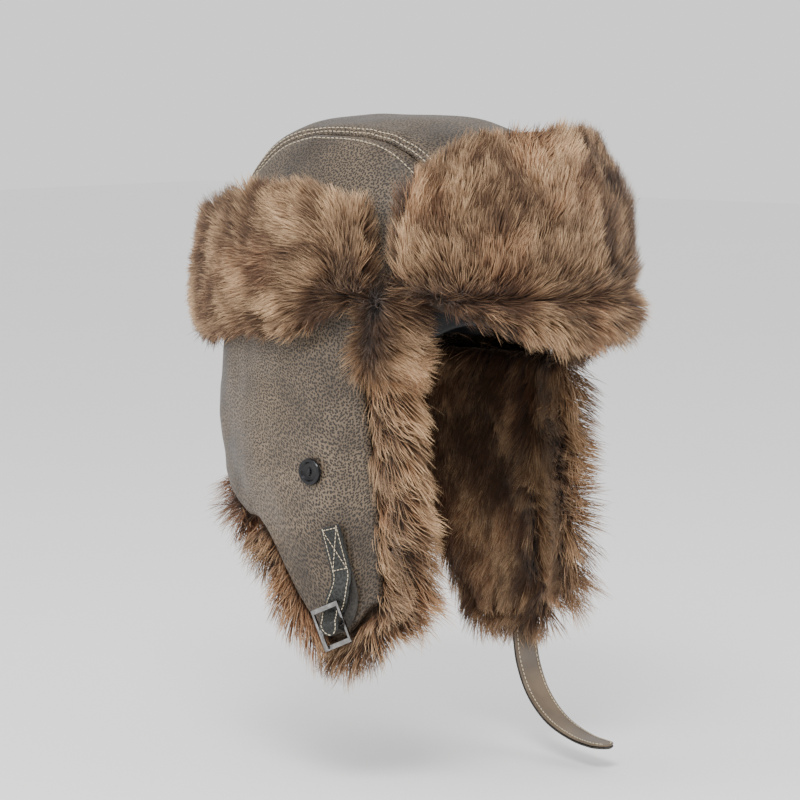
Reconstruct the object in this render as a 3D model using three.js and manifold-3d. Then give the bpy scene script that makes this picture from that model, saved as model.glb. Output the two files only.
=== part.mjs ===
// A fur-trimmed trapper hat: panelled crown, turned-up visor and cuff, ear flaps, neck flap,
// a buckle strap on the right flap and a chin strap on the left one.
// Millimetres, +Z up. The wearer faces -Y, and the wearer's right side is -X.
// The origin is the centre of the head opening, level with the seam of the ear flaps.
// An angle goes round the hat's oval plan in degrees: 0 is the brow, 90 the right ear, 180 the nape.

import * as THREE from 'three';
import { mergeVertices } from 'three/addons/utils/BufferGeometryUtils.js';
import Module from 'manifold-3d';

const wasm = await Module();
wasm.setup();

// Layers
const GAP = 0.4;
const LEATHER = 1.6;
const SATIN = 0.9;
const FLAP_WADDING = 4;
const CROWN_WADDING = 9;
const PILE = 14;

// Crown
const HALF_WIDTH = 96;
const HALF_LENGTH = 119;
const CROWN_HEIGHT = 143;
const DOME_POWER = 3;
const SEAM_X = 56;
const BROW_RISE = 22;
const BROW_ANGLE = 35;
const TEMPLE_ANGLE = 64;
const CROWN_SEGMENTS = 32;
const CROWN_ROWS = 8;
const BAND_HEIGHT = 30;

// Visor
const VISOR_ANGLE = 57;
const VISOR_BOTTOM = 12;
const VISOR_END_BOTTOM = 42;
const VISOR_TOP = 134;
const VISOR_END_TOP = 100;
const VISOR_STAND = 3;
const VISOR_LEAN = 15;
const VISOR_PILE = 20;

// Cuff round the sides and the back
const CUFF_ANGLE = 65;
const CUFF_END_TOP = 90;
const CUFF_SIDE_TOP = 100;
const CUFF_BACK_TOP = 80;
const CUFF_END_BOTTOM = 34;
const CUFF_SIDE_BOTTOM = 14;
const CUFF_BACK_BOTTOM = 4;
const CUFF_STAND = 1;
const CUFF_PILE = 15;

// Ear flaps and neck flap
const SPLIT_Y = 48;
const FLAP_TOP = -3;
const FLAP_STAND = 2;
const FRONT_TOP_ANGLE = 67;
const FRONT_BOTTOM_ANGLE = 62;
const TIP_FRONT_DROP = 146;
const TIP_DROP = 168;
const TIP_ANGLE = 76;
const EAR_REAR_DROP = 101;
const EAR_REAR_ANGLE = 112;
const LEFT_HANG = 30;
const NECK_DROP = 80;
const NECK_ANGLE = 145;
const ROLL_RADIUS = 8.8;
const ROLL_OFFSET = 10.4;
const ROLL_GROW = -6;
const ROLL_END = 6;

// Button
const BUTTON_ANGLE = 84.5;
const BUTTON_DROP = 68.6;
const BUTTON_RADIUS = 8.25;
const BUTTON_RIM_HEIGHT = 3.4;
const BUTTON_DISH_HEIGHT = 2;
const BUTTON_RIM_INNER = 6;
const BUTTON_HOLE = 0.95;
const BUTTON_HOLE_PITCH = 3.4;
const BUTTON_LIFT = 0.9;
const THREAD = 0.55;

// Buckle strap, in the frame of its own sewn patch: x to the front, y up, z out
const STRAP_ANGLE = 77.6;
const STRAP_DROP = 101;
const STRAP_WIDTH = 15;
const PLY = 1.4;
const BOX_LENGTH = 26;
const BUCKLE_TILT = 24;
const BUCKLE_WIDTH = 20;
const BUCKLE_LENGTH = 26;
const BUCKLE_SIDE = 1.5;
const BUCKLE_END = 2.8;
const BUCKLE_THICK = 1.6;
const BAR_RADIUS = 0.9;
const BAR_Y = -1;
const BUCKLE_CENTRE = [4.4, -58.5, 8.6];
const PRONG_X = -7;
const HINGE_Y = -28.5;

// Chin strap
const CHIN_ANGLE = 77;
const CHIN_WIDTH = 17;
const CHIN_PLY = 1.3;
const CHIN_HEADING = 17;
const CHIN_ROOT_TOP = -176;
const CHIN_HINGE = -191;
const CHIN_ROOT_BOTTOM = -188.6;
const CHIN_DROP = 56;
const CHIN_REACH = 92;
const CHIN_HOLE = 1.5;

const MATERIALS = {
  leather: look(0x6b6055, 0.6),
  strap: look(0x4a4a44, 0.5),
  fur: look(0x8a6b4c, 0.95),
  backing: look(0x4b4038, 0.8),
  satin: look(0x0c0c0d, 0.4),
  wadding: look(0xd8d4c8, 1),
  button: look(0x0b0b0c, 0.15),
  thread: look(0x17171a, 0.8),
  metal: look(0x8f8f94, 0.3, 0.9),
};

function look(color, roughness, metalness = 0) {
  return new THREE.MeshStandardMaterial({ color, roughness, metalness });
}

const mix = THREE.MathUtils.lerp;
const rad = THREE.MathUtils.degToRad;
const deg = THREE.MathUtils.radToDeg;
const smooth = THREE.MathUtils.smoothstep;

/** Moves from one value to another along half a cosine while x goes from low to high. */
function ease(x, low, high, from, to) {
  const part = THREE.MathUtils.clamp((x - low) / (high - low), 0, 1);
  return mix(from, to, (1 - Math.cos(Math.PI * part)) / 2);
}

/** A point on the plan oval, grow mm outside the crown's wall. */
function around(angle, grow, height) {
  const a = rad(angle);
  const x = -(HALF_WIDTH + grow) * Math.sin(a);
  return new THREE.Vector3(x, -(HALF_LENGTH + grow) * Math.cos(a), height);
}

/** The angle at which the oval, grown by grow mm, crosses the plane y. */
function angleAt(y, grow) {
  return deg(Math.acos(-y / (HALF_LENGTH + grow)));
}

/** One closed body of a geometry, with its shared corners merged. */
function closed(geometry) {
  geometry.deleteAttribute('normal');
  geometry.deleteAttribute('uv');
  const merged = mergeVertices(geometry, 1e-4);
  const faces = [];
  for (let i = 0; i < merged.index.count; i += 3) {
    const [a, b, c] = merged.index.array.slice(i, i + 3);
    if (a !== b && b !== c && c !== a) faces.push(a, b, c);
  }
  merged.setIndex(faces);
  merged.computeVertexNormals();
  return merged;
}

function piece(name, geometry, material) {
  const mesh = new THREE.Mesh(closed(geometry), material);
  mesh.name = name;
  return mesh;
}

/** Moves every corner of a geometry to where place(corner) puts it. */
function bend(geometry, place) {
  const corners = geometry.attributes.position;
  const corner = new THREE.Vector3();
  for (let i = 0; i < corners.count; i += 1) {
    const to = place(corner.fromBufferAttribute(corners, i).clone());
    corners.setXYZ(i, to.x, to.y, to.z);
  }
  return geometry;
}

/** A padded panel: u runs round the hat, v upwards, w from the outer face (0) to the inner one (1). */
function panel(columns, rows, place) {
  const box = new THREE.BoxGeometry(1, 1, 1, columns, rows, 1);
  return bend(box, (p) => place(p.x + 0.5, p.y + 0.5, p.z + 0.5));
}

// Joins and cuts

function toSolid(geometry) {
  const g = closed(geometry.clone());
  const vertProperties = new Float32Array(g.attributes.position.array);
  const triVerts = new Uint32Array(g.index.array);
  return new wasm.Manifold(new wasm.Mesh({ numProp: 3, vertProperties, triVerts }));
}

function toGeometry(solid) {
  const { vertProperties, triVerts } = solid.getMesh();
  const geometry = new THREE.BufferGeometry();
  geometry.setAttribute('position', new THREE.BufferAttribute(new Float32Array(vertProperties), 3));
  geometry.setIndex(new THREE.BufferAttribute(new Uint32Array(triVerts), 1));
  return geometry;
}

function cut(geometry, ...tools) {
  return toGeometry(tools.reduce((body, tool) => body.subtract(toSolid(tool)), toSolid(geometry)));
}

function common(geometry, tool) {
  return toGeometry(toSolid(geometry).intersect(toSolid(tool)));
}

// Crown

/** Height of the crown's lower edge: level at the ears and the nape, raised over the brow. */
function rimHeight(x, y) {
  const angle = deg(Math.atan2(Math.abs(x) / HALF_WIDTH, -y / HALF_LENGTH));
  return BROW_RISE * (1 - smooth(angle, BROW_ANGLE, TEMPLE_ANGLE));
}

/** The dome's profile from rim to top, sunk into the crown by a depth. */
function domeProfile(depth) {
  const points = [];
  for (let i = 0; i <= CROWN_ROWS; i += 1) {
    const a = (Math.PI / 2) * (i / CROWN_ROWS);
    const radius = (HALF_WIDTH - depth) * Math.cos(a) ** (2 / DOME_POWER);
    const height = (CROWN_HEIGHT - depth) * Math.sin(a) ** (2 / DOME_POWER);
    points.push(new THREE.Vector2(i === CROWN_ROWS ? 0 : radius, height));
  }
  return points;
}

/** Turns a profile about the vertical axis, stretches it to the oval and lifts it over the brow. */
function turned(profile) {
  const body = new THREE.LatheGeometry(profile, CROWN_SEGMENTS);
  body.rotateX(Math.PI / 2);
  body.scale(1, HALF_LENGTH / HALF_WIDTH, 1);
  return bend(body, (p) => {
    const share = 1 - smooth(p.z, 0, CROWN_HEIGHT / 2);
    return new THREE.Vector3(p.x, p.y, p.z + share * rimHeight(p.x, p.y));
  });
}

function domeShell(depth, thickness) {
  return turned([...domeProfile(depth + thickness).reverse(), ...domeProfile(depth)]);
}

function slab(fromX, toX) {
  const box = new THREE.BoxGeometry(toX - fromX, 4 * HALF_LENGTH, 4 * CROWN_HEIGHT);
  return box.translate((fromX + toX) / 2, 0, 0);
}

function crown() {
  const shell = domeShell(0, LEATHER);
  const edge = SEAM_X - GAP / 2;
  const side = () => common(shell, slab(-2 * HALF_WIDTH, -SEAM_X - GAP / 2));
  const waddingDepth = LEATHER + GAP;
  const liningDepth = waddingDepth + CROWN_WADDING + GAP;
  const group = new THREE.Group();
  group.add(
    piece('crown_panel_centre', common(shell, slab(-edge, edge)), MATERIALS.leather),
    piece('crown_panel_right', side(), MATERIALS.leather),
    piece('crown_wadding', domeShell(waddingDepth, CROWN_WADDING), MATERIALS.wadding),
    piece('crown_lining', domeShell(liningDepth, SATIN), MATERIALS.satin),
    piece('sweatband', sweatband(liningDepth + SATIN + GAP), MATERIALS.satin),
    mirrored(piece('crown_panel_left', side(), MATERIALS.leather)),
  );
  return group;
}

/** A band of doubled satin that follows the crown's lower edge on the inside. */
function sweatband(depth) {
  const outer = HALF_WIDTH - depth - GAP;
  const inner = outer - SATIN;
  return turned([
    new THREE.Vector2(outer, 1),
    new THREE.Vector2(outer - GAP, BAND_HEIGHT),
    new THREE.Vector2(inner - GAP, BAND_HEIGHT),
    new THREE.Vector2(inner, 1),
    new THREE.Vector2(outer, 1),
  ]);
}

/** Puts a piece into a group that mirrors it from the right side to the left. */
function mirrored(...pieces) {
  const group = new THREE.Group();
  group.scale.x = -1;
  group.add(...pieces);
  return group;
}

// Visor

function visorBottom(angle) {
  return mix(VISOR_BOTTOM, VISOR_END_BOTTOM, (angle / VISOR_ANGLE) ** 2);
}

function visorTop(angle) {
  return mix(VISOR_TOP, VISOR_END_TOP, (angle / VISOR_ANGLE) ** 4);
}

function visorLayer(outer, inner) {
  return panel(18, 4, (u, v, w) => {
    const angle = mix(-VISOR_ANGLE, VISOR_ANGLE, u);
    const height = mix(visorBottom(angle), visorTop(angle), v);
    const lean = VISOR_LEAN * (height / VISOR_TOP) ** 2;
    return around(angle, mix(outer, inner, w) - lean, height);
  });
}

function visor() {
  const backOuter = VISOR_STAND + LEATHER + 4;
  const wadOuter = backOuter + GAP + FLAP_WADDING;
  const group = new THREE.Group();
  group.add(
    piece('visor_backing', visorLayer(backOuter, backOuter - LEATHER), MATERIALS.backing),
    piece('visor_wadding', visorLayer(wadOuter, backOuter + GAP), MATERIALS.wadding),
    piece('visor_fur', visorLayer(wadOuter + GAP + VISOR_PILE, wadOuter + GAP), MATERIALS.fur),
  );
  return group;
}

// Cuff

function cuffTop(angle) {
  if (angle < 90) return ease(angle, CUFF_ANGLE, 82, CUFF_END_TOP, CUFF_SIDE_TOP);
  return ease(angle, 95, 150, CUFF_SIDE_TOP, CUFF_BACK_TOP);
}

function cuffBottom(angle) {
  if (angle < 90) return ease(angle, CUFF_ANGLE, 90, CUFF_END_BOTTOM, CUFF_SIDE_BOTTOM);
  return ease(angle, 90, 150, CUFF_SIDE_BOTTOM, CUFF_BACK_BOTTOM);
}

/** How far the wall of the crown has drawn in at a height. */
function domeInset(height) {
  const rise = Math.min(Math.max(height, 0) / CROWN_HEIGHT, 1);
  return HALF_WIDTH * (1 - (1 - rise ** DOME_POWER) ** (1 / DOME_POWER));
}

function cuffLayer(outer, inner) {
  return panel(30, 4, (u, v, w) => {
    const angle = mix(CUFF_ANGLE, 360 - CUFF_ANGLE, u);
    const turn = angle > 180 ? 360 - angle : angle;
    const height = mix(cuffBottom(turn), cuffTop(turn), v);
    return around(angle, mix(outer, inner, w) - 0.55 * domeInset(height), height);
  });
}

function cuff() {
  const outer = CUFF_STAND + LEATHER;
  const group = new THREE.Group();
  group.add(
    piece('cuff_backing', cuffLayer(outer, CUFF_STAND), MATERIALS.backing),
    piece('cuff_fur', cuffLayer(outer + 2 * GAP + CUFF_PILE, outer + 2 * GAP), MATERIALS.fur),
  );
  return group;
}

// Flaps

/** Height of an ear flap's lower edge, from its front corner past its tip to the neck; hang lowers its rear. */
function earBottom(angle, hang) {
  if (angle < TIP_ANGLE) {
    return ease(angle, FRONT_BOTTOM_ANGLE, TIP_ANGLE, -TIP_FRONT_DROP, -TIP_DROP);
  }
  const slack = hang * smooth(angle, 79, 93) * (1 - 0.45 * smooth(angle, 95, EAR_REAR_ANGLE));
  return ease(angle, TIP_ANGLE, EAR_REAR_ANGLE, -TIP_DROP, -EAR_REAR_DROP) - slack;
}

function neckBottom(angle) {
  const turn = angle > 180 ? 360 - angle : angle;
  return ease(turn, EAR_REAR_ANGLE, NECK_ANGLE, -EAR_REAR_DROP, -NECK_DROP);
}

function earLayer(hang, outer, inner) {
  return panel(12, 5, (u, v, w) => {
    const grow = mix(outer, inner, w);
    const front = mix(FRONT_BOTTOM_ANGLE, FRONT_TOP_ANGLE, v);
    const angle = mix(front, angleAt(SPLIT_Y - GAP, grow), u);
    return around(angle, grow, mix(earBottom(angle, hang), FLAP_TOP, v));
  });
}

function neckLayer(outer, inner) {
  return panel(18, 3, (u, v, w) => {
    const grow = mix(outer, inner, w);
    const start = angleAt(SPLIT_Y + GAP, grow);
    const angle = mix(start, 360 - start, u);
    return around(angle, grow, mix(neckBottom(angle), FLAP_TOP, v));
  });
}

/** A round fur roll along a path. */
function roll(points, radius, steps) {
  const section = new THREE.Shape().absarc(0, 0, radius, 0, 2 * Math.PI);
  return new THREE.ExtrudeGeometry(section, {
    extrudePath: new THREE.CatmullRomCurve3(points),
    steps,
    curveSegments: 5,
    bevelEnabled: false,
  });
}

/** A flap's edge, from its front corner down round its tip to the neck: [angle, height] pairs. */
function earEdge(hang) {
  const edge = [];
  for (let v = 1; v > 0.01; v -= 0.25) {
    const angle = mix(FRONT_BOTTOM_ANGLE, FRONT_TOP_ANGLE, v);
    edge.push([angle, mix(-TIP_FRONT_DROP, FLAP_TOP - 2, v)]);
  }
  const last = angleAt(SPLIT_Y - ROLL_END, ROLL_GROW);
  for (let i = 0; i <= 10; i += 1) {
    const angle = mix(FRONT_BOTTOM_ANGLE, last, i / 10);
    edge.push([angle, earBottom(angle, hang)]);
  }
  return edge;
}

/** The fur roll lies outside the flap's edge, a fixed distance away from it in the flap's own face. */
function earRoll(hang) {
  const mmPerDegree = rad(HALF_LENGTH);
  const edge = earEdge(hang);
  const path = edge.map(([angle, height], i) => {
    const [beforeAngle, beforeHeight] = edge[Math.max(i - 1, 0)];
    const [afterAngle, afterHeight] = edge[Math.min(i + 1, edge.length - 1)];
    const run = new THREE.Vector2((afterAngle - beforeAngle) * mmPerDegree, afterHeight - beforeHeight);
    run.setLength(ROLL_OFFSET);
    return around(angle + run.y / mmPerDegree, ROLL_GROW, height - run.x);
  });
  return roll(path, ROLL_RADIUS, 34);
}

function neckRoll() {
  const start = angleAt(SPLIT_Y + ROLL_END, ROLL_GROW);
  const path = [];
  for (let i = 0; i <= 10; i += 1) {
    const angle = mix(start, 360 - start, i / 10);
    path.push(around(angle, ROLL_GROW, neckBottom(angle) - ROLL_OFFSET - 0.6));
  }
  return roll(path, ROLL_RADIUS, 24);
}

/** Fur between the top of an ear flap's roll and the end of the visor. */
function templeFur() {
  const path = [
    around(FRONT_TOP_ANGLE - 5, ROLL_GROW + 8, 2),
    around(FRONT_TOP_ANGLE - 6, ROLL_GROW + 9, 18),
    around(FRONT_TOP_ANGLE - 6, ROLL_GROW + 9, 34),
  ];
  const crownWall = turned([
    new THREE.Vector2(0, -60), new THREE.Vector2(HALF_WIDTH + GAP, -60),
    new THREE.Vector2(HALF_WIDTH + GAP, 90), new THREE.Vector2(0, 90),
  ]);
  return cut(roll(path, 7, 4), crownWall);
}

const FLAP_LAYERS = [
  ['leather', FLAP_STAND, LEATHER, MATERIALS.leather],
  ['wadding', FLAP_STAND - LEATHER - GAP, FLAP_WADDING, MATERIALS.wadding],
  ['fur', FLAP_STAND - LEATHER - FLAP_WADDING - 2 * GAP, PILE, MATERIALS.fur],
];

function flapLayers(prefix, layer) {
  return FLAP_LAYERS.map(([name, outer, thick, material]) =>
    piece(`${prefix}_${name}`, layer(outer, outer - thick), material));
}

/** A group on the outer face of the right flap: x to the front, y up, z out. */
function patch(angle, drop) {
  const group = new THREE.Group();
  group.position.copy(around(angle, FLAP_STAND, -drop));
  const a = rad(angle);
  const out = new THREE.Vector3(-HALF_LENGTH * Math.sin(a), -HALF_WIDTH * Math.cos(a), 0);
  out.normalize();
  const up = new THREE.Vector3(0, 0, 1);
  const front = new THREE.Vector3().crossVectors(up, out);
  group.quaternion.setFromRotationMatrix(new THREE.Matrix4().makeBasis(front, up, out));
  return group;
}

function button() {
  const profile = [
    [0, 0], [5, 0], [7.2, 0.7], [BUTTON_RADIUS, 1.9], [BUTTON_RADIUS - 0.4, BUTTON_RIM_HEIGHT - 0.4],
    [BUTTON_RADIUS - 0.9, BUTTON_RIM_HEIGHT], [BUTTON_RIM_INNER, BUTTON_RIM_HEIGHT],
    [BUTTON_RIM_INNER - 0.9, BUTTON_DISH_HEIGHT + 0.3], [3.2, BUTTON_DISH_HEIGHT], [0, BUTTON_DISH_HEIGHT],
  ].map(([x, y]) => new THREE.Vector2(x, y));
  const disc = new THREE.LatheGeometry(profile, 24).rotateX(Math.PI / 2);
  const holes = [-1, 1].map((side) => {
    const hole = new THREE.CylinderGeometry(BUTTON_HOLE, BUTTON_HOLE, 10, 10).rotateX(Math.PI / 2);
    return hole.translate(0, (side * BUTTON_HOLE_PITCH) / 2, 0);
  });
  return cut(disc, ...holes).translate(0, 0, BUTTON_LIFT);
}

/** A loop of thread over the bridge between the button's two holes. */
function buttonThread() {
  const y = BUTTON_HOLE_PITCH / 2;
  const top = BUTTON_LIFT + BUTTON_DISH_HEIGHT + THREAD + GAP;
  const path = new THREE.CatmullRomCurve3([
    new THREE.Vector3(0, -y, GAP), new THREE.Vector3(0, -y, top / 2), new THREE.Vector3(0, -y + 0.1, top - 0.5),
    new THREE.Vector3(0, 0, top + 0.2),
    new THREE.Vector3(0, y - 0.1, top - 0.5), new THREE.Vector3(0, y, top / 2), new THREE.Vector3(0, y, GAP),
  ]);
  const section = new THREE.Shape().absarc(0, 0, THREAD, 0, 2 * Math.PI);
  return new THREE.ExtrudeGeometry(section,
    { extrudePath: path, steps: 12, curveSegments: 3, bevelEnabled: false });
}

/** A flat strap along a curve; side is its width direction. */
function strap(curve, side, widthAt, thickness, sink, steps) {
  const box = new THREE.BoxGeometry(1, 1, 1, steps, 2, 1);
  return bend(box, (p) => {
    const part = p.x + 0.5;
    const direction = curve.getTangentAt(part);
    const normal = new THREE.Vector3().crossVectors(direction, side).normalize();
    return curve.getPointAt(part)
      .addScaledVector(side, p.y * widthAt(part))
      .addScaledVector(normal, p.z * thickness + sink);
  });
}

/** A strap's width: even, then rounded off over its last few millimetres. */
function roundedEnd(width, length, tip) {
  return (part) => {
    const left = Math.max((1 - part) * length, 0.03 * tip);
    return left < tip ? width * Math.sqrt(1 - (1 - left / tip) ** 2) : width;
  };
}

const vectors = (...rows) => rows.map((row) => new THREE.Vector3(...row));
const ACROSS = new THREE.Vector3(1, 0, 0);
const OUT = new THREE.Vector3(0, 0, 1);

/** A point given in the buckle's own frame, seen from the strap's patch. */
function onBuckle(x, y, z) {
  return new THREE.Vector3(x, y, z).applyAxisAngle(OUT, rad(BUCKLE_TILT))
    .add(new THREE.Vector3(...BUCKLE_CENTRE));
}

/** The sewn patch: both plies of the strap stitched flat to the flap. */
function strapAnchor() {
  const tilt = Math.atan2(8, 24.8);
  return new THREE.BoxGeometry(STRAP_WIDTH, BOX_LENGTH, 2 * PLY + GAP)
    .rotateZ(tilt)
    .translate(4, 0.6 - BOX_LENGTH / 2, PLY + GAP + 0.9);
}

/** The front ply bows off the flap, tucks under the buckle's upper end and lies over its middle bar. */
function strapFront() {
  const shift = 1.3;
  const line = new THREE.CatmullRomCurve3([
    ...vectors([9.3, HINGE_Y - 1.5, 4.6], [9.4, -36, 7.2], [7.4, -41.5, 6.6], [4.2, -47, 4.9]),
    onBuckle(shift, 8.3, -2.7), onBuckle(shift, 4.8, 0.6), onBuckle(shift, 2, 3.7),
    onBuckle(shift, -1, 4.3), onBuckle(shift, -5.6, 4.2),
  ]);
  const side = ACROSS.clone().applyAxisAngle(OUT, rad(BUCKLE_TILT / 2));
  const end = roundedEnd(STRAP_WIDTH - 1.6, line.getLength(), 7);
  return strap(line, side, end, PLY, 0, 20);
}

/** The back ply lies on the flap, and its lower end is folded round the buckle's middle bar. */
function strapBack() {
  const r = BAR_RADIUS + PLY / 2 + GAP;
  const along = ACROSS.clone().applyAxisAngle(OUT, rad(BUCKLE_TILT));
  const x = 1.3;
  const line = new THREE.CatmullRomCurve3([
    ...vectors([9.6, HINGE_Y - 1.5, 1.5], [11.5, -38, 1.4], [12.2, -50, 1.6], [9.5, -58, 2.2]),
    onBuckle(x, BAR_Y - 3.2, -3.6), onBuckle(x, BAR_Y - r, 0), onBuckle(x, BAR_Y - r * 0.7, r * 0.7),
    onBuckle(x, BAR_Y, r), onBuckle(x, BAR_Y + r * 0.7, r * 0.7), onBuckle(x, BAR_Y + r, 0),
    onBuckle(x, BAR_Y + r * 0.6, -r * 0.8),
  ]);
  return strap(line, along, () => 7, 1.1, 0, 30);
}

/** A rectangular frame with a thin middle bar, in its own plane. */
function buckleFrame() {
  const frame = new THREE.BoxGeometry(BUCKLE_WIDTH, BUCKLE_LENGTH, BUCKLE_THICK);
  const window = new THREE.BoxGeometry(BUCKLE_WIDTH - 2 * BUCKLE_SIDE, BUCKLE_LENGTH - 2 * BUCKLE_END, 9);
  const bar = new THREE.CylinderGeometry(BAR_RADIUS, BAR_RADIUS, BUCKLE_WIDTH - BUCKLE_SIDE, 10);
  bar.rotateZ(Math.PI / 2).translate(0, BAR_Y, 0);
  return toGeometry(toSolid(cut(frame, window)).add(toSolid(bar)));
}

/** The prong turns on the middle bar and rests on the frame's lower end. */
function buckleProng() {
  const wheel = (radius, width) =>
    new THREE.CylinderGeometry(radius, radius, width, 14).rotateZ(Math.PI / 2);
  const eye = BAR_RADIUS + GAP;
  const line = new THREE.CatmullRomCurve3(vectors([0, -1.2, 1.4], [0, -5, 1.9], [0, -8, 1.9], [0, -11, 1.75]));
  const rod = strap(line, ACROSS, () => 1.3, 1, 0, 6);
  return toGeometry(toSolid(wheel(eye + 0.8, 1.5)).add(toSolid(rod)).subtract(toSolid(wheel(eye, 4))));
}

function buckleSet() {
  const group = new THREE.Group();
  group.position.set(...BUCKLE_CENTRE);
  group.rotation.z = rad(BUCKLE_TILT);
  const prong = piece('buckle_prong', buckleProng(), MATERIALS.metal);
  prong.position.set(PRONG_X, BAR_Y, 0);
  group.add(piece('buckle_frame', buckleFrame(), MATERIALS.metal), prong);
  return group;
}

function earFlap(side, hang) {
  const group = new THREE.Group();
  group.add(...flapLayers(`${side}_ear`, (outer, inner) => earLayer(hang, outer, inner)));
  const pad = patch(BUTTON_ANGLE, BUTTON_DROP);
  pad.add(
    piece(`${side}_button`, button(), MATERIALS.button),
    piece(`${side}_button_thread`, buttonThread(), MATERIALS.thread),
  );
  group.add(pad, piece(`${side}_temple_fur`, templeFur(), MATERIALS.fur));
  return group;
}

function rightStrap() {
  const pad = patch(STRAP_ANGLE, STRAP_DROP);
  pad.add(
    piece('buckle_strap_anchor', strapAnchor(), MATERIALS.strap),
    piece('buckle_strap_front', strapFront(), MATERIALS.strap),
    piece('buckle_strap_back', strapBack(), MATERIALS.strap),
    buckleSet(),
  );
  return pad;
}

// Chin strap

/** The strap's frame: x along its width, y the way it curls, z up, from the left flap's tip. */
function chinFrame() {
  const group = new THREE.Group();
  const tip = around(-CHIN_ANGLE, ROLL_GROW, 0);
  group.position.copy(tip);
  group.rotation.z = Math.PI - rad(CHIN_HEADING);
  return group;
}

function chinCurve() {
  return new THREE.CatmullRomCurve3(vectors(
    [0, 0, CHIN_HINGE], [0, 4, CHIN_HINGE - 0.3 * CHIN_DROP], [0, 16, CHIN_HINGE - 0.62 * CHIN_DROP],
    [0, 0.4 * CHIN_REACH, CHIN_HINGE - 0.86 * CHIN_DROP], [0, 0.7 * CHIN_REACH, CHIN_HINGE - 0.98 * CHIN_DROP],
    [0, CHIN_REACH, CHIN_HINGE - CHIN_DROP],
  ));
}

function chinPly(sink) {
  const line = chinCurve();
  const end = roundedEnd(CHIN_WIDTH, line.getLength(), 9);
  const ply = strap(line, ACROSS, end, CHIN_PLY, sink, 22);
  const holes = [12, 24].map((drop) => {
    const hole = new THREE.CylinderGeometry(CHIN_HOLE, CHIN_HOLE, 40, 10);
    return hole.translate(0, 0, CHIN_HINGE - drop);
  });
  return cut(ply, ...holes);
}

/** The block that the strap's root fills inside the flap's roll, grown by a clearance. */
function chinBlock(grow, floor) {
  const top = CHIN_ROOT_TOP + grow;
  return new THREE.BoxGeometry(CHIN_WIDTH + 2 * grow, 2 * CHIN_PLY + GAP + 2 * grow, top - floor)
    .translate(0, 0, (top + floor) / 2);
}

function chinStrap() {
  const group = chinFrame();
  const sink = (CHIN_PLY + GAP) / 2;
  group.add(
    piece('chin_strap_root', chinBlock(0, CHIN_ROOT_BOTTOM), MATERIALS.strap),
    piece('chin_strap_face', chinPly(-sink), MATERIALS.leather),
    piece('chin_strap_back', chinPly(sink), MATERIALS.strap),
  );
  return group;
}

/** The left roll has a slot where the chin strap's root is sewn in; it is cut in the right-hand frame. */
function leftRoll() {
  const slot = chinBlock(GAP, CHIN_HINGE - ROLL_RADIUS);
  const frame = chinFrame();
  frame.updateMatrix();
  slot.applyMatrix4(frame.matrix);
  const mirror = new THREE.Matrix4().makeScale(-1, 1, 1);
  const tube = closed(earRoll(LEFT_HANG));
  tube.applyMatrix4(mirror);
  tube.index.array.reverse();
  return cut(tube, slot);
}

const hat = new THREE.Group();
hat.add(
  crown(),
  visor(),
  cuff(),
  ...flapLayers('neck', neckLayer),
  piece('neck_fur_roll', neckRoll(), MATERIALS.fur),
  earFlap('right', 0),
  mirrored(earFlap('left', LEFT_HANG)),
  piece('right_ear_fur_roll', earRoll(0), MATERIALS.fur),
  piece('left_ear_fur_roll', leftRoll(), MATERIALS.fur),
  rightStrap(),
  chinStrap(),
);

export default hat;
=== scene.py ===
"""Looks of a trapper hat: a leather crown and ear flaps, fur turned up at the brow and round the back."""

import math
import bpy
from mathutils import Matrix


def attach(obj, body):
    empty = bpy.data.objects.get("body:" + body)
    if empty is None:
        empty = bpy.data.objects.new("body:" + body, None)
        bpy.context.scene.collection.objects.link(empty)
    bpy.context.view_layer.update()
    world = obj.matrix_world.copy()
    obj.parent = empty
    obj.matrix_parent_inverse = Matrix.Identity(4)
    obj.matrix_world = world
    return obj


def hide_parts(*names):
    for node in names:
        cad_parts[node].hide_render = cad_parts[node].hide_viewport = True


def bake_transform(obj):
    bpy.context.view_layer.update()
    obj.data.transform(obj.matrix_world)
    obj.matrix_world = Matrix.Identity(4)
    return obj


bl_info = {
    "name": "Trapper Hat",
    "version": (1, 0, 0),
    "blender": (4, 5, 0),
    "location": "View3D > Sidebar > Trapper Hat",
    "description": "Builds the leather, fur, lining, straps and trims of a trapper hat on its frame",
    "category": "Object",
}

import bpy
import numpy as np
from mathutils import Matrix, Vector

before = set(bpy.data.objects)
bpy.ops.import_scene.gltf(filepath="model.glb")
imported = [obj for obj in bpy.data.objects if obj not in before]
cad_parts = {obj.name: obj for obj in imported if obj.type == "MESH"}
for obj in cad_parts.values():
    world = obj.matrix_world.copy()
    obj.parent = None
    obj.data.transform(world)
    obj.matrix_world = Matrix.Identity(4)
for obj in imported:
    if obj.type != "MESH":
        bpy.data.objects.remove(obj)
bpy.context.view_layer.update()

# Sizes of the hat in metres, as in the frame. Angles go round its oval in degrees from the brow.
HALF_WIDTH = 0.096
HALF_LENGTH = 0.119
CROWN_HEIGHT = 0.143
DOME_POWER = 3
SEAM_X = 0.056
BROW_RISE = 0.022
BROW_ANGLE = 35
TEMPLE_ANGLE = 64
SPLIT_Y = 0.048
FLAP_FRONT_ANGLE = 62
FLAP_FRONT_DROP = 0.146
TIP_ANGLE = 76
TIP_DROP = 0.168
FLAP_REAR_ANGLE = 112
FLAP_REAR_DROP = 0.101
NECK_ANGLE = 145
NECK_DROP = 0.080
LEFT_HANG = 0.030
TOP_OF_LEATHER = 0.036
CROWN_LEATHER = 0.0012
FLAP_LEATHER = 0.0014

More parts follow.
